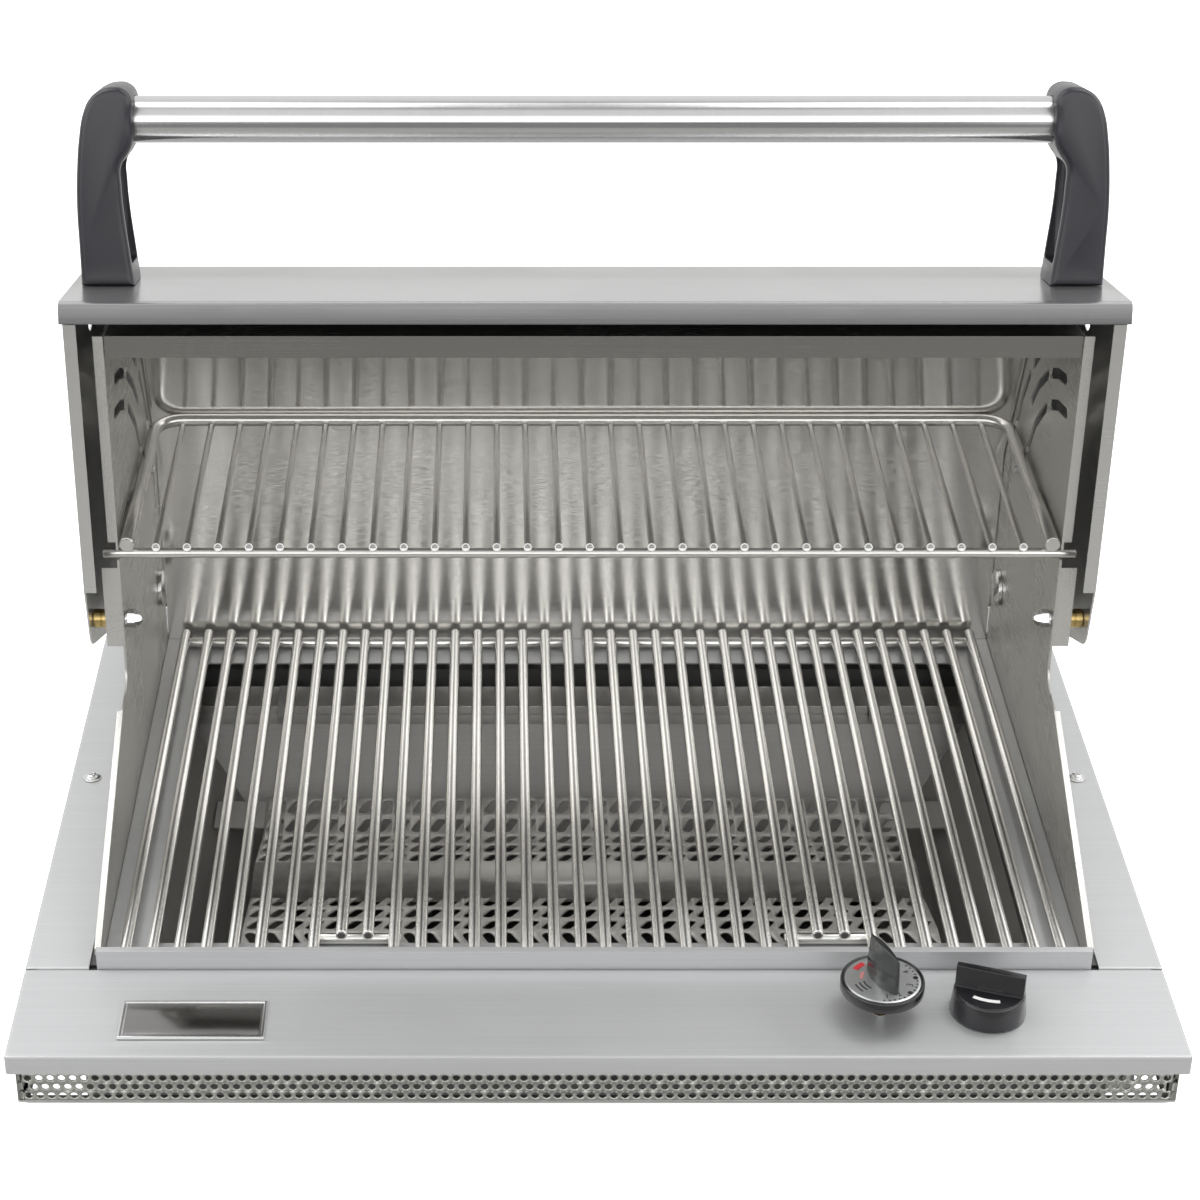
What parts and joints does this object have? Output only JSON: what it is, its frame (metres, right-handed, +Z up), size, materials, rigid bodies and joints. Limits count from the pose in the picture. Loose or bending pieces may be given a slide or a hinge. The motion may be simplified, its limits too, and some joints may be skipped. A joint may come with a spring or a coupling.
{
  "type": "built in gas grill",
  "caption": "Drop in countertop gas grill with an open hinged hood, rod grates, warming rack, slotted flavour grid, perforated vent skirt and front knobs.",
  "frame": {"origin": "centre of the flat bottom of the firebox", "axes": "+Z up, -Y towards the user, +X to the right of the grill as seen by the user"},
  "size_m": [0.72, 0.552, 0.6614],
  "materials": {
    "brushed_steel": "brushed",
    "hood_steel": "brushed",
    "oven_steel": "satin",
    "rod_steel": "polished",
    "polished_steel": "polished",
    "black_casting": "satin",
    "black_plastic": "satin",
    "brass": "satin",
    "cast_iron": "matte",
    "black_rubber": "matte",
    "ceramic": "glazed",
    "red_lead": "satin"
  },
  "bodies": {
    "grill_body": {"burner": "cast_iron", "burner_strap": "oven_steel", "control_box": "oven_steel", "control_panel": "brushed_steel", "deck_frame": "brushed_steel", "deck_screw_left": "polished_steel", "deck_screw_right": "polished_steel", "electrode": "ceramic", "firebox_liner": "oven_steel", "firebox_shell": "oven_steel", "gas_inlet": "brass", "gas_valve": "brass", "grate_frame": "brushed_steel", "grid_rail_left": "oven_steel", "grid_rail_right": "oven_steel", "hood_bumper_left": "black_rubber", "hood_bumper_right": "black_rubber", "igniter_lead": "red_lead", "igniter_module": "black_plastic", "liner_hanger_left": "black_casting", "liner_hanger_right": "black_casting", "name_plate": "polished_steel", "oven_back": "oven_steel", "oven_top": "oven_steel", "pivot_bolt_left": "polished_steel", "pivot_bolt_right": "polished_steel", "pivot_bushing_left": "brass", "pivot_bushing_right": "brass", "pivot_nut_left": "polished_steel", "pivot_nut_right": "polished_steel", "pivot_washer_left": "polished_steel", "pivot_washer_right": "polished_steel", "rack_pin_left": "rod_steel", "rack_pin_right": "rod_steel", "rear_ledge": "oven_steel", "side_plate_left": "oven_steel", "side_plate_right": "oven_steel", "spit_cap_left": "polished_steel", "spit_cap_right": "polished_steel", "vent_skirt": "brushed_steel"},
    "hood": {"hood_skin": "hood_steel", "hood_side_left": "hood_steel", "hood_side_right": "hood_steel", "handle_bracket_left": "black_casting", "handle_bracket_right": "black_casting", "bracket_screw_left": "polished_steel", "bracket_screw_right": "polished_steel", "handle_tube": "polished_steel"},
    "valve_stem": {"valve_stem": "brass"},
    "control_knob": {"control_knob": "black_plastic", "dial_plate": "polished_steel"},
    "igniter_knob": {"igniter_knob": "black_plastic"},
    "grate_left": {"grate_left": "rod_steel"},
    "grate_right": {"grate_right": "rod_steel"},
    "warming_rack": {"warming_rack": "rod_steel"},
    "flavor_grid": {"flavor_grid": "oven_steel"},
    "drip_tray": {"drip_tray": "oven_steel"}
  },
  "joints": [
    {"name": "hood_hinge", "type": "hinge", "parent": "grill_body", "child": "hood", "pos_m": [0, 0.001, 0.31], "axis": [1, 0, 0], "range_deg": [0, 113.5]},
    {"name": "valve_push", "type": "slide", "parent": "grill_body", "child": "valve_stem", "axis": [0, 0, -1], "range_m": [0, 0.003], "stiffness_N_per_m": 1500, "springref_m": -0.001},
    {"name": "knob_turn", "type": "hinge", "parent": "valve_stem", "child": "control_knob", "pos_m": [0.1758, -0.252, 0.185], "axis": [0, 0, 1], "range_deg": [0, 270]},
    {"name": "igniter_turn", "type": "hinge", "parent": "grill_body", "child": "igniter_knob", "pos_m": [0.2423, -0.252, 0.185], "axis": [0, 0, -1], "range_deg": [0, 90], "stiffness_Nm_per_rad": 0.1, "springref_deg": -11.46},
    {"name": "grate_left_tip", "type": "hinge", "parent": "grill_body", "child": "grate_left", "pos_m": [-0.15235, -0.1965, 0.177], "axis": [1, 0, 0], "range_deg": [0, 12]},
    {"name": "grate_right_tip", "type": "hinge", "parent": "grill_body", "child": "grate_right", "pos_m": [0.15235, -0.1965, 0.177], "axis": [1, 0, 0], "range_deg": [0, 12]},
    {"name": "rack_slide", "type": "slide", "parent": "grill_body", "child": "warming_rack", "axis": [0, -1, 0], "range_m": [0, 0.1]},
    {"name": "grid_lift", "type": "slide", "parent": "grill_body", "child": "flavor_grid", "axis": [0, 0, 1], "range_m": [0, 0.017]},
    {"name": "tray_lift", "type": "slide", "parent": "grill_body", "child": "drip_tray", "axis": [0, 0, 1], "range_m": [0, 0.02]}
  ]
}
